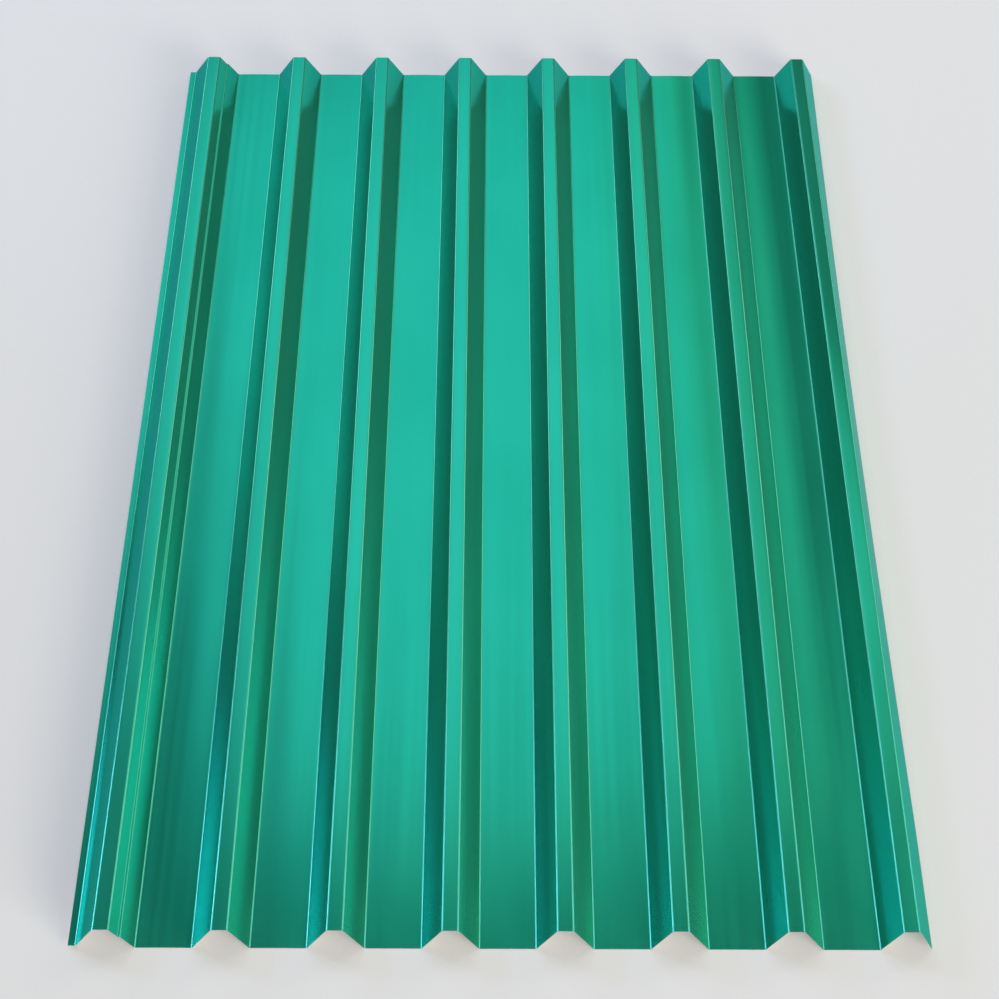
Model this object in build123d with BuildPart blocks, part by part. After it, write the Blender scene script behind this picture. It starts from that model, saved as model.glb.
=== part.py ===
"""Trapezoidal corrugated roofing sheet, roll-formed in one piece from a strip of prepainted steel.

The section runs along X, from the overlap lip on the left to the underlap leg on the right, and the ribs
run along Y. The origin is at the middle of the sheet, on the plane that the undersides of the pans share.
All sizes are in millimetres. The section is drawn on the middle of the sheet's thickness, so widths and
heights are measured between the middles of the folded faces, to the points where their lines would meet.
"""

import os
from itertools import accumulate
from math import hypot

from build123d import *

# The strip
sheet_length = 1350.0
sheet_gauge = 0.45
bend_inside_radius = 2.0

# The ribs, which stand a pitch apart with a flat pan between them
rib_count = 8
rib_pitch = 103.0
rib_height = 26.0
crown_width = 14.5
flank_run = 18.5

# The overlap side: its rib covers the last rib of the sheet before it, with a small ledge in its inner flank
lip_width = 7.0
lip_lift = 2.7
cover_flank_run = 19.3
ledge_depth = 10.0
ledge_width = 2.2
ledge_drop = 0.8
ledge_inside_radius = 0.8

# The underlap side: its last rib ends in a steeper leg that stops short of the pans
leg_run = 12.8
leg_drop = 24.5

# Sizes that follow from those
pan_width = rib_pitch - crown_width - 2 * flank_run
flank_slope = rib_height / flank_run
cover_slope = (rib_height - ledge_drop) / cover_flank_run
under_ledge_depth = rib_height - ledge_depth - ledge_drop
leg_length = hypot(leg_run, leg_drop)
bend_radius = bend_inside_radius + sheet_gauge / 2
ledge_radius = ledge_inside_radius + sheet_gauge / 2

# Each fold of the strip as a run to the right and a rise
pan = (pan_width, 0)
flank_up = (flank_run, rib_height)
crown = (crown_width, 0)
flank_down = (flank_run, -rib_height)

overlap_lip = (lip_width, 0)
overlap_flank = ((rib_height - lip_lift) / flank_slope, rib_height - lip_lift)
above_ledge = (ledge_depth / cover_slope, -ledge_depth)
ledge = (ledge_width, -ledge_drop)
under_ledge = (under_ledge_depth / cover_slope, -under_ledge_depth)
underlap_leg = (leg_run, -leg_drop)

overlap_rib = [overlap_lip, overlap_flank, crown, above_ledge, ledge, under_ledge]
plain_rib = [pan, flank_up, crown, flank_down]
underlap_rib = [pan, flank_up, crown, underlap_leg]
folds = overlap_rib + plain_rib * (rib_count - 2) + underlap_rib

# The leg's square-cut tip reaches a little further right than the middle of its thickness
tip_reach = sheet_gauge / 2 * leg_drop / leg_length
sheet_width = sum(run for run, rise in folds) + tip_reach
lip_end = (-sheet_width / 2, lip_lift + sheet_gauge / 2)


def next_corner(corner, fold):
    """The far end of a fold that starts at a corner."""
    return (corner[0] + fold[0], corner[1] + fold[1])


corners = list(accumulate(folds, next_corner, initial=lip_end))

# Every fold line between two corners gets the bend radius, apart from the two at the ledge
ledge_start = overlap_rib.index(ledge)
bend_radii = [bend_radius] * (len(corners) - 2)
bend_radii[ledge_start - 1 : ledge_start + 1] = [ledge_radius] * 2

with BuildPart() as corrugated_sheet:
    with BuildSketch(Plane.XZ):
        with BuildLine():
            FilletPolyline(*corners, radius=bend_radii)
        trace(line_width=sheet_gauge)
    extrude(amount=sheet_length / 2, both=True)

corrugated_sheet.part.label = "corrugated_sheet"

os.makedirs("parts", exist_ok=True)
export_step(corrugated_sheet.part, "parts/corrugated_sheet.step")
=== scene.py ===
"""Looks of a prepainted trapezoidal roofing sheet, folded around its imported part, and of its studio."""

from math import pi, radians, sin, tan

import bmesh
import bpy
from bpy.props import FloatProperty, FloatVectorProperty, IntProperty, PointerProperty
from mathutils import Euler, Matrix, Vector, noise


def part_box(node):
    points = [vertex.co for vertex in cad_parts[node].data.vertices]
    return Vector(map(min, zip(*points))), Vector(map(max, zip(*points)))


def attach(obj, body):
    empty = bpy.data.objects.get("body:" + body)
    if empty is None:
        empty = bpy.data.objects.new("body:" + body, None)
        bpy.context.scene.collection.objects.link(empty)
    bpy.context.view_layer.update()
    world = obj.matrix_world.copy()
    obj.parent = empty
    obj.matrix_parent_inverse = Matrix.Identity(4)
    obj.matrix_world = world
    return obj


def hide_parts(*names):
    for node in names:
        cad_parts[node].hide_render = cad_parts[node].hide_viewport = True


bl_info = {
    "name": "Corrugated Roofing Sheet",
    "version": (1, 0, 0),
    "blender": (4, 5, 0),
    "location": "View3D > Sidebar > Roofing Sheet",
    "description": "Folds a prepainted trapezoidal sheet around the packed part and sets up its studio",
    "category": "Object",
}

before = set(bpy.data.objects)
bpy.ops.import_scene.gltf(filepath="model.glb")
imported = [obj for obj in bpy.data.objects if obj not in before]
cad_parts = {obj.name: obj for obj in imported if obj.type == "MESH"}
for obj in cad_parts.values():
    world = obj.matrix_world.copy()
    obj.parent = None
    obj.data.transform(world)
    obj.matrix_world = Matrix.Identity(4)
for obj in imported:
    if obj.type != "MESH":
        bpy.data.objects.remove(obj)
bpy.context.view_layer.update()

NODE = "corrugated_sheet"
BODY = "root"

SHEET_LOW, SHEET_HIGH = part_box(NODE)
GAUGE = 0.00045

# Folds from the lip to the overlap rib's crown, and the creases at the ledge, counted from the lip
OVERLAP_CROWN_FOLDS = 3
LEDGE_CREASES = (3, 4)
# Decimals of a bend's reach, so that like bends are rounded together
REACH_DIGITS = 7
# Step in the swell's noise from one pan to the next
PAN_STEP = 7.3
# Shares of the length, from the front end, over which the outer crowns lean and the leg is straight
FIRST_REACH = 1.0
LAST_REACH = 0.65
STRAIGHT_SHARE = 0.1
# Turn between two facets from which their edge is sharp
SHARP_ANGLE = radians(40)
# Material slots after the paint's
BACKER_SIDE = 1
CUT_EDGE = 2
# Attribute that is 1 on the bends, where the paint is lighter as a painted highlight
BEND_MARK = "bend"
# Range that most of a noise's values are in
NOISE_LOW = 0.3
NOISE_HIGH = 0.7
# Sensor of the camera, in millimetres
SENSOR_WIDTH = 36
# Tints of the lamps
COOL = (0.82, 1.0, 1.15)
BLUE = (0.60, 1.0, 1.65)
DEEP_BLUE = (0.35, 1.0, 3.40)
PLAIN = (0.97, 1.0, 1.05)
WARM = (1.03, 1.0, 0.78)
STRAW = (1.06, 1.0, 0.70)
# What the window behind the sheet shares with its two blinds
BACK_PLACE = {"bearing": -1.6, "rise": 42.6, "distance": 5.5, "level": 1.27, "lean": 8}


def size_property(name, description, default):
    """A size in metres."""
    return FloatProperty(name=name, description=description, default=default, unit="LENGTH", precision=5)


def share_property(name, description, default):
    """A value from 0 to 1."""
    return FloatProperty(name=name, description=description, default=default, min=0, max=1, subtype="FACTOR")


def angle_property(name, description, degrees):
    """An angle, given in degrees."""
    return FloatProperty(name=name, description=description, default=radians(degrees), subtype="ANGLE")


def colour_property(name, description, default):
    """A linear colour."""
    return FloatVectorProperty(name=name, description=description, default=default, size=3, min=0, max=2,
                               subtype="COLOR")


class SheetSection(bpy.types.PropertyGroup):
    """The rolled section, measured on the middle of the sheet's thickness."""

    length: size_property("Length", "Length of the sheet along the ribs", SHEET_HIGH.y - SHEET_LOW.y)
    gauge: size_property("Gauge", "Thickness of the coated steel", GAUGE)
    bend_radius: size_property("Bend radius", "Radius of the folds", 0.002225)
    rib_count: IntProperty(name="Ribs", description="Number of ribs across the sheet", default=8, min=3)
    rib_pitch: size_property("Rib pitch", "Distance between two ribs", 0.103)
    rib_height: size_property("Rib height", "Height of the crowns over the pans",
                              SHEET_HIGH.z - SHEET_LOW.z - GAUGE)
    crown_width: size_property("Crown width", "Width of the flat on top of a rib", 0.0145)
    flank_run: size_property("Flank run", "Width that a sloping flank covers", 0.0185)
    lip_width: size_property("Lip width", "Width of the overlap side's flat lip", 0.007)
    lip_lift: size_property("Lip lift", "Height of that lip over the pans", 0.0027)
    cover_flank_run: size_property("Cover flank run", "Width that the overlap rib's inner flank covers",
                                   0.0193)
    ledge_depth: size_property("Ledge depth", "Depth under the crown of the step in that flank", 0.010)
    ledge_width: size_property("Ledge width", "Width of that step", 0.0022)
    ledge_drop: size_property("Ledge drop", "How far that step slopes down", 0.0005)
    ledge_radius: size_property("Ledge radius", "Radius of that step's two folds", 0.001025)
    leg_run: size_property("Leg run", "Width that the underlap side's leg covers", 0.0128)
    leg_drop: size_property("Leg drop", "Height of that leg", 0.0245)
    bend_steps: IntProperty(name="Bend steps", description="Facets round a fold", default=6, min=2)
    facet: size_property("Facet", "Widest facet across the flats", 0.005)
    length_steps: IntProperty(name="Length steps", description="Rows of facets along the sheet", default=64,
                              min=2)


class SheetFlatness(bpy.types.PropertyGroup):
    """How far the rolled sheet is from flat."""

    swell: size_property("Pan swell", "Most that a pan stands up between two ribs", 0.0004)
    swell_length: size_property("Swell length", "Distance along the sheet over which the swell changes", 0.3)
    seed: FloatProperty(name="Seed", description="Chooses the pattern of the swell", default=11.0)
    first_lean: angle_property("First crown's lean", "How far the overlap rib's crown leans right", 1.6)
    last_lean: angle_property("Last crown's lean", "How far the underlap rib's crown leans right", -2.7)
    lip_lean: angle_property("Lip's lean", "How far the lip turns up at its edge", 2.0)
    leg_bow: size_property("Leg bow", "Most that the underlap side's leg bows in", 0.0032)


class SheetFinish(bpy.types.PropertyGroup):
    """The coatings of the sheet."""

    paint: colour_property("Paint", "Colour of the weather side", (0.019, 0.475, 0.325))
    deep_paint: colour_property("Deep paint", "Colour of the weather side where the coat is thick",
                                (0.016, 0.440, 0.298))
    # Lighter paint on the folds: a painted highlight along the bends
    fold_highlight_paint: colour_property("Fold highlight paint", "Colour of the weather side on the folds",
                                (0.095, 0.530, 0.385))
    gloss: colour_property("Gloss", "Tint of the weather side's gloss at a low angle", (0.20, 0.70, 0.78))
    metal_share: share_property("Metal effect", "Share of metal effect in the paint", 0.75)
    film: share_property("Clear film", "Weight of the weather side's clear film", 0.04)
    haze: share_property("Haze", "Weight of the faint haze on the weather side", 0.04)
    backer: colour_property("Backer", "Colour of the underside's wash coat", (0.50, 0.52, 0.50))
    thin_backer: colour_property("Thin backer", "Colour of the wash coat where it is thin",
                                 (0.44, 0.46, 0.45))
    zinc: colour_property("Zinc", "Colour of the sheared edges", (0.55, 0.57, 0.58))
    steel: colour_property("Steel", "Colour of the bare steel in the sheared edges", (0.32, 0.32, 0.33))


class SheetStudio(bpy.types.PropertyGroup):
    """The camera, the floor and the room."""

    lens: FloatProperty(name="Lens", description="Focal length in millimetres", default=99.6)
    camera_place: FloatVectorProperty(name="Camera place", description="Where the camera stands", size=3,
                                      default=(-0.0075, -2.188, 2.0048), unit="LENGTH")
    tilt: angle_property("Tilt", "How far the camera looks down", 43.72)
    turn: angle_property("Turn", "How far the camera turns left", -0.173)
    roll: angle_property("Roll", "How far the camera rolls", 0.334)
    floor_size: size_property("Floor size", "Width of the floor", 40.0)
    floor_colour: colour_property("Floor colour", "Colour of the floor", (0.88, 0.86, 0.90))
    floor_glow: share_property("Floor glow", "Light that lifts the floor towards white", 0.22)
    room_colour: colour_property("Room colour", "Light of the room between the lamps", (0.105, 0.10, 0.075))


def rgba(colour):
    """A colour with full cover."""
    return (*colour, 1.0)


def new_material(name, values):
    """A node material with a Principled shader that has the given values."""
    material = bpy.data.materials.new(name)
    material.use_nodes = True
    shader = material.node_tree.nodes["Principled BSDF"]
    for socket, value in values.items():
        shader.inputs[socket].default_value = value
    return material, material.node_tree, shader


def group_inputs(tree, sockets):
    """Named inputs of a node group, with their defaults."""
    for name, kind, default in sockets:
        tree.interface.new_socket(name, in_out="INPUT", socket_type=kind).default_value = default
    return tree.nodes.new("NodeGroupInput").outputs


def group_outputs(tree, sources):
    """Named outputs of a node group that put out values."""
    for name in sources:
        tree.interface.new_socket(name, in_out="OUTPUT", socket_type="NodeSocketFloat")
    node = tree.nodes.new("NodeGroupOutput")
    for name, source in sources.items():
        tree.links.new(source, node.inputs[name])


def stretched_noise(tree, place, stretch, detail):
    """Noise that is finer along some axes than others."""
    scaled = tree.nodes.new("ShaderNodeVectorMath")
    scaled.operation = "MULTIPLY"
    tree.links.new(place, scaled.inputs[0])
    tree.links.new(stretch, scaled.inputs[1])
    texture = tree.nodes.new("ShaderNodeTexNoise")
    texture.inputs["Scale"].default_value = 1.0
    texture.inputs["Detail"].default_value = detail
    tree.links.new(scaled.outputs["Vector"], texture.inputs["Vector"])
    return texture.outputs["Fac"]


def coil_coat_group():
    """Streaks that the rollers leave along a coil coat, its mottle, and its fine peel."""
    tree = bpy.data.node_groups.new("coil_coat", "ShaderNodeTree")
    inputs = group_inputs(tree, (
        ("Streak Scale", "NodeSocketVector", (180.0, 1.2, 180.0)),
        ("Mottle Scale", "NodeSocketVector", (9.0, 5.0, 9.0)),
        ("Peel Scale", "NodeSocketVector", (420.0, 420.0, 420.0))))
    place = tree.nodes.new("ShaderNodeTexCoord").outputs["Object"]
    group_outputs(tree, {
        "Streaks": stretched_noise(tree, place, inputs["Streak Scale"], detail=3.0),
        "Mottle": stretched_noise(tree, place, inputs["Mottle Scale"], detail=2.0),
        "Peel": stretched_noise(tree, place, inputs["Peel Scale"], detail=2.0)})
    return tree


def place_group(tree, group):
    """A node group in a material."""
    node = tree.nodes.new("ShaderNodeGroup")
    node.node_tree = group
    return node


def mix_colours(tree, share, first, second):
    """A colour mixed from two, each a plain colour or a socket."""
    node = tree.nodes.new("ShaderNodeMix")
    node.data_type = "RGBA"
    tree.links.new(share, node.inputs["Factor"])
    for name, colour in (("A", first), ("B", second)):
        socket = next(s for s in node.inputs if s.name == name and s.type == "RGBA")
        if isinstance(colour, bpy.types.NodeSocket):
            tree.links.new(colour, socket)
        else:
            socket.default_value = rgba(colour)
    return next(s for s in node.outputs if s.type == "RGBA")


def spread(tree, value, lowest, highest):
    """The middle of a noise value, spread from lowest to highest."""
    node = tree.nodes.new("ShaderNodeMapRange")
    node.inputs["From Min"].default_value = NOISE_LOW
    node.inputs["From Max"].default_value = NOISE_HIGH
    node.inputs["To Min"].default_value = lowest
    node.inputs["To Max"].default_value = highest
    tree.links.new(value, node.inputs["Value"])
    return node.outputs["Result"]


def add_bump(tree, shader, height, strength, depth):
    """A fine relief on a shader."""
    node = tree.nodes.new("ShaderNodeBump")
    node.inputs["Strength"].default_value = strength
    node.inputs["Distance"].default_value = depth
    tree.links.new(height, node.inputs["Height"])
    tree.links.new(node.outputs["Normal"], shader.inputs["Normal"])


def paint_material(finish, coat_group):
    """The weather side's glossy metal-effect coil coat."""
    material, tree, shader = new_material("weather_side_paint", {
        "Metallic": finish.metal_share, "Specular IOR Level": 0.0, "Specular Tint": rgba(finish.gloss),
        "Coat Weight": finish.film, "Coat Roughness": 0.06,
        "Sheen Weight": finish.haze, "Sheen Roughness": 0.5})
    coat = place_group(tree, coat_group)
    bend = tree.nodes.new("ShaderNodeAttribute")
    bend.attribute_name = BEND_MARK
    thick = spread(tree, coat.outputs["Mottle"], lowest=0.0, highest=1.0)
    mottled = mix_colours(tree, thick, finish.paint, finish.deep_paint)
    # Lighter paint on the bends: a painted highlight along the folds
    colour = mix_colours(tree, bend.outputs["Fac"], mottled, finish.fold_highlight_paint)
    roughness = spread(tree, coat.outputs["Streaks"], lowest=0.17, highest=0.22)
    tree.links.new(colour, shader.inputs["Base Color"])
    tree.links.new(roughness, shader.inputs["Roughness"])
    add_bump(tree, shader, coat.outputs["Peel"], strength=0.1, depth=0.00001)
    return material


def backer_material(finish, coat_group):
    """The underside's thin wash coat."""
    material, tree, shader = new_material("backer_coat", {"Specular IOR Level": 0.4})
    coat = place_group(tree, coat_group)
    coat.inputs["Streak Scale"].default_value = (120.0, 1.5, 120.0)
    coat.inputs["Peel Scale"].default_value = (700.0, 700.0, 700.0)
    thin = spread(tree, coat.outputs["Streaks"], lowest=0.0, highest=1.0)
    colour = mix_colours(tree, thin, finish.backer, finish.thin_backer)
    roughness = spread(tree, coat.outputs["Mottle"], lowest=0.42, highest=0.55)
    tree.links.new(colour, shader.inputs["Base Color"])
    tree.links.new(roughness, shader.inputs["Roughness"])
    add_bump(tree, shader, coat.outputs["Peel"], strength=0.15, depth=0.00002)
    return material


def zinc_material(finish, coat_group):
    """Sheared steel, smeared with its zinc."""
    material, tree, shader = new_material("sheared_edge", {"Metallic": 0.9})
    coat = place_group(tree, coat_group)
    coat.inputs["Streak Scale"].default_value = (900.0, 900.0, 250.0)
    coat.inputs["Mottle Scale"].default_value = (300.0, 300.0, 300.0)
    bare = spread(tree, coat.outputs["Streaks"], lowest=0.0, highest=1.0)
    colour = mix_colours(tree, bare, finish.zinc, finish.steel)
    roughness = spread(tree, coat.outputs["Mottle"], lowest=0.35, highest=0.55)
    tree.links.new(colour, shader.inputs["Base Color"])
    tree.links.new(roughness, shader.inputs["Roughness"])
    return material


def overlap_folds(section):
    """The overlap rib's folds, each as a run to the right and a rise."""
    outer = section.rib_height - section.lip_lift
    outer_run = outer * section.flank_run / section.rib_height
    above = section.ledge_depth
    below = section.rib_height - section.ledge_depth - section.ledge_drop
    lean = section.cover_flank_run / (above + below)
    return [(section.lip_width, 0), (outer_run, outer), (section.crown_width, 0),
            (above * lean, -above), (section.ledge_width, -section.ledge_drop), (below * lean, -below)]


def pan_width(section):
    """The width of the flat between two ribs."""
    return section.rib_pitch - section.crown_width - 2 * section.flank_run


def all_folds(section):
    """Every fold of the strip, from the overlap lip to the underlap leg."""
    rise = [(pan_width(section), 0), (section.flank_run, section.rib_height), (section.crown_width, 0)]
    plain = rise + [(section.flank_run, -section.rib_height)]
    underlap = rise + [(section.leg_run, -section.leg_drop)]
    return overlap_folds(section) + plain * (section.rib_count - 2) + underlap


def folds_width(folds):
    """The width that a line of folds covers."""
    return sum(run for run, rise in folds)


def draw_folds(bm, section):
    """The section as a line of straight folds at the front end of the sheet."""
    start = (SHEET_LOW.x, SHEET_LOW.y, section.lip_lift + section.gauge / 2)
    corner = bmesh.ops.create_vert(bm, co=start)["vert"][0]
    for run, rise in all_folds(section):
        corner = bmesh.ops.extrude_vert_indiv(bm, verts=[corner])["verts"][0]
        bmesh.ops.translate(bm, verts=[corner], vec=(run, 0, rise))


def draw_out(bm, section):
    """Draws the line out along the sheet, with the faces upwards."""
    grown = bmesh.ops.extrude_edge_only(bm, edges=bm.edges[:])["geom"]
    far_end = [part for part in grown if isinstance(part, bmesh.types.BMVert)]
    bmesh.ops.translate(bm, verts=far_end, vec=(0, section.length, 0))
    bm.normal_update()
    if sum(face.normal.z for face in bm.faces) < 0:
        bmesh.ops.reverse_faces(bm, faces=bm.faces[:])


def round_creases(bm, section):
    """Rounds every crease with its own radius, and marks the facets of the bends."""
    mark = bm.faces.layers.int.new(BEND_MARK)
    creases = [edge for edge in bm.edges if len(edge.link_faces) == 2]
    creases.sort(key=lambda edge: edge.verts[0].co.x)
    reaches = {}
    for number, edge in enumerate(creases):
        radius = section.ledge_radius if number in LEDGE_CREASES else section.bend_radius
        reach = round(radius * tan(edge.calc_face_angle() / 2), REACH_DIGITS)
        reaches.setdefault(reach, []).append(edge)
    for reach, group in reaches.items():
        bend = bmesh.ops.bevel(bm, geom=group, offset=reach, offset_type="OFFSET", affect="EDGES",
                               segments=section.bend_steps, profile=0.5, material=-1, clamp_overlap=False)
        for face in bend["faces"]:
            face[mark] = 1


def divide(bm, section):
    """Cuts the flats across, and then everything into rows along the sheet."""
    ends = [edge for edge in bm.edges if edge.is_boundary and edge.verts[0].co.y == edge.verts[1].co.y]
    cuts_of = {edge: int(edge.calc_length() / section.facet) for edge in ends}
    for cuts in set(cuts_of.values()) - {0}:
        bmesh.ops.subdivide_edges(bm, edges=[edge for edge in ends if cuts_of[edge] == cuts], cuts=cuts)
    rows = [edge for edge in bm.edges if abs(edge.verts[0].co.y - edge.verts[1].co.y) > section.length / 2]
    bmesh.ops.subdivide_edges(bm, edges=rows, cuts=section.length_steps - 1)


def soften_bend_marks(bm):
    """Turns the marks of the bends' facets into a value that fades out at their sides."""
    mark = bm.faces.layers.int[BEND_MARK]
    value = bm.verts.layers.float.new(BEND_MARK)
    for vert in bm.verts:
        vert[value] = min(face[mark] for face in vert.link_faces)
    bm.faces.layers.int.remove(mark)


def swell_pans(bm, section, flatness):
    """Lets the pans stand up a little between the ribs, as rolled sheet does."""
    first_pan = SHEET_LOW.x + folds_width(overlap_folds(section))
    width = pan_width(section)
    for vert in bm.verts:
        pan, along = divmod(vert.co.x - first_pan, section.rib_pitch)
        across = along / width
        if vert.co.x > first_pan and across < 1:
            place = Vector((PAN_STEP * pan, vert.co.y / flatness.swell_length, flatness.seed))
            arch = 4 * across * (1 - across)
            level = 0.5 + 0.5 * noise.noise(place)
            vert.co.z += flatness.swell * arch ** 2 * level


def share_along(vert, section):
    """How far along the sheet a point is, from 0 at the front end to 1."""
    return (vert.co.y - SHEET_LOW.y) / section.length


def lean_crown(bm, section, centre, lean, reach):
    """Lets a crown lean to one side, most at the middle of its reach from the front end."""
    half = section.crown_width / 2
    for vert in bm.verts:
        across = vert.co.x - centre
        if abs(across) < section.rib_pitch / 2:
            slope = tan(lean) * sin(pi * min(1, share_along(vert, section) / reach))
            fall = slope * max(-half, min(half, across)) + abs(slope) * half
            vert.co.z -= fall * (vert.co.z - section.gauge / 2) / section.rib_height


def turn_up_lip(bm, section, flatness):
    """Turns the lip's free edge up a little."""
    fold = SHEET_LOW.x + section.lip_width
    rise = tan(flatness.lip_lean)
    overhang = rise * section.gauge / 2 / section.lip_width
    for vert in bm.verts:
        vert.co += max(0, fold - vert.co.x) * Vector((overhang, 0, rise))


def bow_leg(bm, section, flatness):
    """Lets the underlap side's leg bow in behind the front end, as a free edge does."""
    fold = SHEET_LOW.x + folds_width(all_folds(section)[:-1])
    for vert in bm.verts:
        if vert.co.x > fold:
            behind = max(0, share_along(vert, section) - STRAIGHT_SHARE) / (1 - STRAIGHT_SHARE)
            bow = flatness.leg_bow * sin(pi * behind)
            vert.co.x -= bow * (SHEET_HIGH.z - vert.co.z) / section.leg_drop


def sheet_surface(section, flatness):
    """The sheet's middle surface, as a mesh."""
    bm = bmesh.new()
    draw_folds(bm, section)
    draw_out(bm, section)
    round_creases(bm, section)
    divide(bm, section)
    soften_bend_marks(bm)
    swell_pans(bm, section, flatness)
    half_crown = section.crown_width / 2
    first_crown = SHEET_LOW.x + folds_width(overlap_folds(section)[:OVERLAP_CROWN_FOLDS]) - half_crown
    last_crown = SHEET_LOW.x + folds_width(all_folds(section)[:-1]) - half_crown
    lean_crown(bm, section, first_crown, flatness.first_lean, FIRST_REACH)
    lean_crown(bm, section, last_crown, flatness.last_lean, LAST_REACH)
    turn_up_lip(bm, section, flatness)
    bow_leg(bm, section, flatness)
    for face in bm.faces:
        face.smooth = True
    mesh = bpy.data.meshes.new("roofing_sheet")
    bm.to_mesh(mesh)
    bm.free()
    return mesh


def apply_modifiers(context, owner):
    """The mesh that an object's modifiers make, which are then taken off."""
    mesh = bpy.data.meshes.new_from_object(owner.evaluated_get(context.evaluated_depsgraph_get()))
    owner.modifiers.clear()
    return mesh


class SHEET_OT_fold(bpy.types.Operator):
    """Fold the sheet and lay its coatings on"""

    bl_idname = "sheet.fold"
    bl_label = "Fold the Sheet"

    def execute(self, context):
        scene = context.scene
        section = scene.sheet_section
        finish = scene.sheet_finish
        mesh = sheet_surface(section, scene.sheet_flatness)
        coat_group = coil_coat_group()
        for make in (paint_material, backer_material, zinc_material):
            mesh.materials.append(make(finish, coat_group))
        sheet = bpy.data.objects.new("roofing_sheet", mesh)
        scene.collection.objects.link(sheet)
        shell = sheet.modifiers.new("gauge", "SOLIDIFY")
        shell.thickness = section.gauge
        shell.offset = 0
        shell.use_even_offset = True
        shell.material_offset = BACKER_SIDE
        shell.material_offset_rim = CUT_EDGE
        sheet.data = apply_modifiers(context, sheet)
        sheet.data.set_sharp_from_angle(angle=SHARP_ANGLE)
        crisp = sheet.modifiers.new("crisp_bends", "WEIGHTED_NORMAL")
        crisp.keep_sharp = True
        sheet.data = apply_modifiers(context, sheet)
        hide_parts(NODE)
        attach(sheet, BODY)
        return {"FINISHED"}


def softbox(name, bearing, rise, distance, size, level, colour, lean=0, aside=(0, 0)):
    """A soft lamp panel that faces the sheet, from a compass bearing and a rise in degrees.

    It leans right in its own plane, and then moves aside there, right and up.
    """
    data = bpy.data.lights.new(name, "AREA")
    data.shape = "RECTANGLE"
    data.size, data.size_y = size
    data.energy = level * size[0] * size[1] * pi
    data.color = colour
    lamp = bpy.data.objects.new(name, data)
    facing = Euler((radians(90 + rise), 0, -radians(bearing))).to_matrix().to_4x4()
    turned = Matrix.Rotation(pi, 4, "Y") @ Matrix.Rotation(radians(lean), 4, "Z")
    moved = Matrix.Translation((-aside[0], aside[1], 0))
    lamp.matrix_world = facing @ Matrix.Translation((0, 0, -distance)) @ turned @ moved
    lamp.visible_camera = False
    bpy.context.scene.collection.objects.link(lamp)


def hang_lamps():
    """The studio's lamp panels: behind the sheet, at its left, at its right, in front of it and overhead."""
    softbox("back_window", size=(1.52, 2.50), colour=COOL, aside=(-0.09, -0.10), **BACK_PLACE)
    softbox("back_blind", size=(0.28, 2.70), colour=STRAW, aside=(0.81, 0), **BACK_PLACE)
    softbox("top_blind", size=(1.10, 0.20), colour=WARM, aside=(0.03, 1.25), **BACK_PLACE)
    softbox("left_window", -58, 26, 6.0, size=(1.4, 1.05), level=7.5, colour=BLUE)
    softbox("left_wall", -35, 19, 6.0, size=(1.9, 1.58), level=2.7, colour=PLAIN)
    softbox("left_skylight", -40, 46, 6.0, size=(2.1, 1.4), level=1.8, colour=PLAIN)
    softbox("left_lantern", -32.4, 45.6, 5.8, size=(0.5, 0.8), level=4.8, colour=BLUE)
    softbox("right_window", 46.5, 24, 6.0, size=(3.35, 1.69), level=2.2, colour=WARM)
    softbox("right_skylight", 38, 49, 6.0, size=(2.33, 1.37), level=1.35, colour=WARM)
    softbox("right_lantern", 40, 49.0, 5.8, size=(0.4, 0.35), level=8.0, colour=DEEP_BLUE)
    softbox("key_panel", 141, 9.5, 9.0, size=(6.0, 2.88), level=16.8, colour=WARM)
    softbox("front_wall", 180, 30, 7.0, size=(12.0, 5.0), level=0.32, colour=PLAIN)
    softbox("ceiling", 180, 85, 6.0, size=(5.0, 5.0), level=0.30, colour=PLAIN)


def floor_material(studio):
    """A pale floor that is lifted towards white for the eye and in gloss, and keeps the sheet's shadow."""
    material, tree, shader = new_material("pale_floor", {
        "Base Color": rgba(studio.floor_colour), "Roughness": 1.0, "Specular IOR Level": 0.0,
        "Emission Color": (1, 1, 1, 1)})
    path = tree.nodes.new("ShaderNodeLightPath")
    seen = path.outputs["Is Camera Ray"]
    for other in ("Is Glossy Ray", "Is Transmission Ray"):
        either = tree.nodes.new("ShaderNodeMath")
        either.operation = "MAXIMUM"
        tree.links.new(seen, either.inputs[0])
        tree.links.new(path.outputs[other], either.inputs[1])
        seen = either.outputs["Value"]
    glow = tree.nodes.new("ShaderNodeMath")
    glow.operation = "MULTIPLY"
    glow.inputs[1].default_value = studio.floor_glow
    tree.links.new(seen, glow.inputs[0])
    tree.links.new(glow.outputs["Value"], shader.inputs["Emission Strength"])
    return material


def lay_floor(scene, studio):
    """The floor under the sheet."""
    bm = bmesh.new()
    bmesh.ops.create_grid(bm, x_segments=1, y_segments=1, size=studio.floor_size / 2)
    mesh = bpy.data.meshes.new("floor")
    bm.to_mesh(mesh)
    bm.free()
    mesh.materials.append(floor_material(studio))
    ground = bpy.data.objects.new("floor", mesh)
    scene.collection.objects.link(ground)


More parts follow.
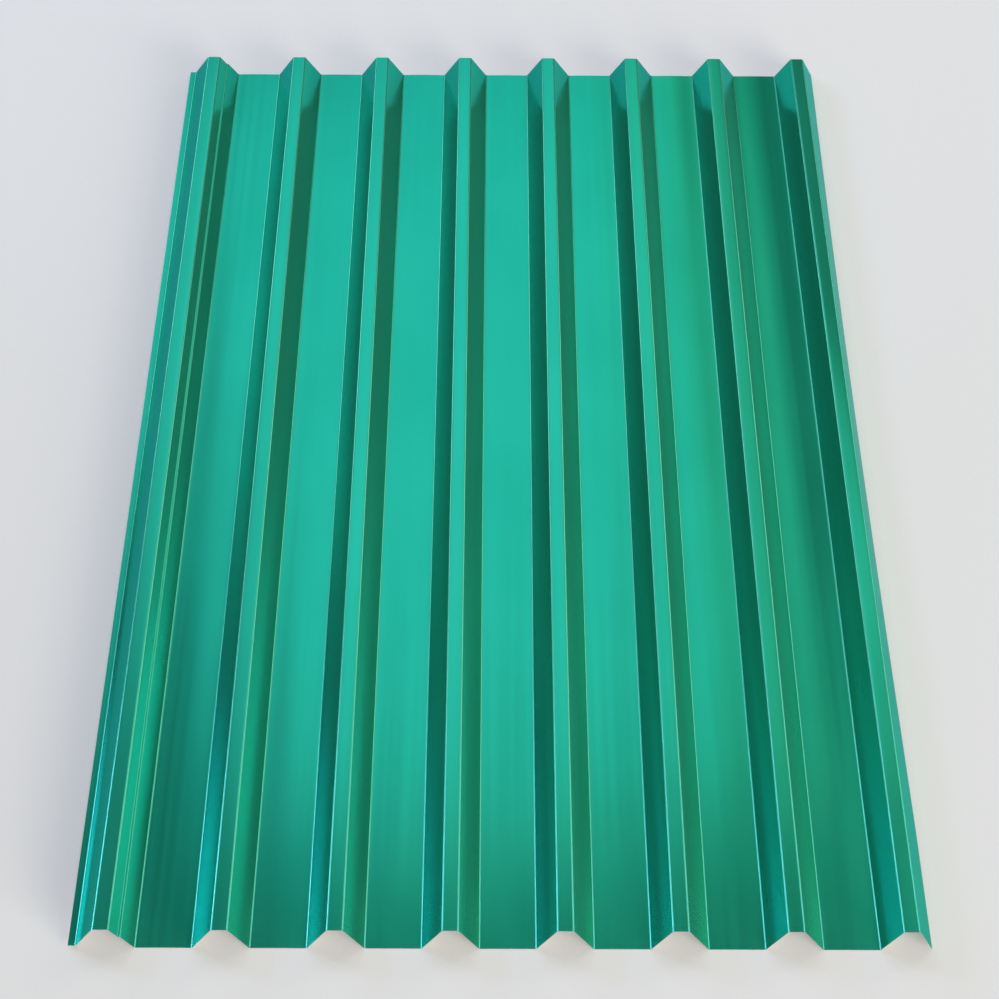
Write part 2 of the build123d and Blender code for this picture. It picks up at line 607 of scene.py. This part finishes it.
def light_room(scene, studio):
    """The room's own light, dim and even."""
    world = bpy.data.worlds.new("studio_room")
    scene.world = world
    world.use_nodes = True
    background = world.node_tree.nodes["Background"]
    background.inputs["Color"].default_value = rgba(studio.room_colour)


def place_camera(scene, studio):
    """The camera, at the height and distance of the photograph's."""
    lens = bpy.data.cameras.new("camera")
    lens.lens = studio.lens
    lens.sensor_width = SENSOR_WIDTH
    camera = bpy.data.objects.new("camera", lens)
    scene.collection.objects.link(camera)
    facing = Euler((radians(90) - studio.tilt, 0, studio.turn)).to_matrix().to_4x4()
    rolled = facing @ Matrix.Rotation(studio.roll, 4, "Z")
    camera.matrix_world = Matrix.Translation(studio.camera_place) @ rolled
    scene.camera = camera


class SHEET_OT_stage(bpy.types.Operator):
    """Set up the floor, the lamps, the room and the camera"""

    bl_idname = "sheet.stage"
    bl_label = "Set the Stage"

    def execute(self, context):
        scene = context.scene
        studio = scene.sheet_studio
        lay_floor(scene, studio)
        light_room(scene, studio)
        hang_lamps()
        place_camera(scene, studio)
        scene.view_settings.view_transform = "Standard"
        return {"FINISHED"}


class SHEET_PT_panel(bpy.types.Panel):
    """The sheet's operators in the sidebar"""

    bl_label = "Roofing Sheet"
    bl_idname = "SHEET_PT_panel"
    bl_space_type = "VIEW_3D"
    bl_region_type = "UI"
    bl_category = "Roofing Sheet"

    def draw(self, context):
        for operator in (SHEET_OT_fold, SHEET_OT_stage):
            self.layout.operator(operator.bl_idname)


GROUPS = {"sheet_section": SheetSection, "sheet_flatness": SheetFlatness, "sheet_finish": SheetFinish,
          "sheet_studio": SheetStudio}
CLASSES = (*GROUPS.values(), SHEET_OT_fold, SHEET_OT_stage, SHEET_PT_panel)


def register():
    """Adds the classes and the scene's settings."""
    for cls in CLASSES:
        bpy.utils.register_class(cls)
    for name, group in GROUPS.items():
        setattr(bpy.types.Scene, name, PointerProperty(type=group))


def unregister():
    """Takes the settings and the classes away."""
    for name in GROUPS:
        delattr(bpy.types.Scene, name)
    for cls in reversed(CLASSES):
        bpy.utils.unregister_class(cls)


def main():
    """Builds the sheet and its stage."""
    register()
    bpy.ops.sheet.fold()
    bpy.ops.sheet.stage()


if __name__ == "__main__":
    main()
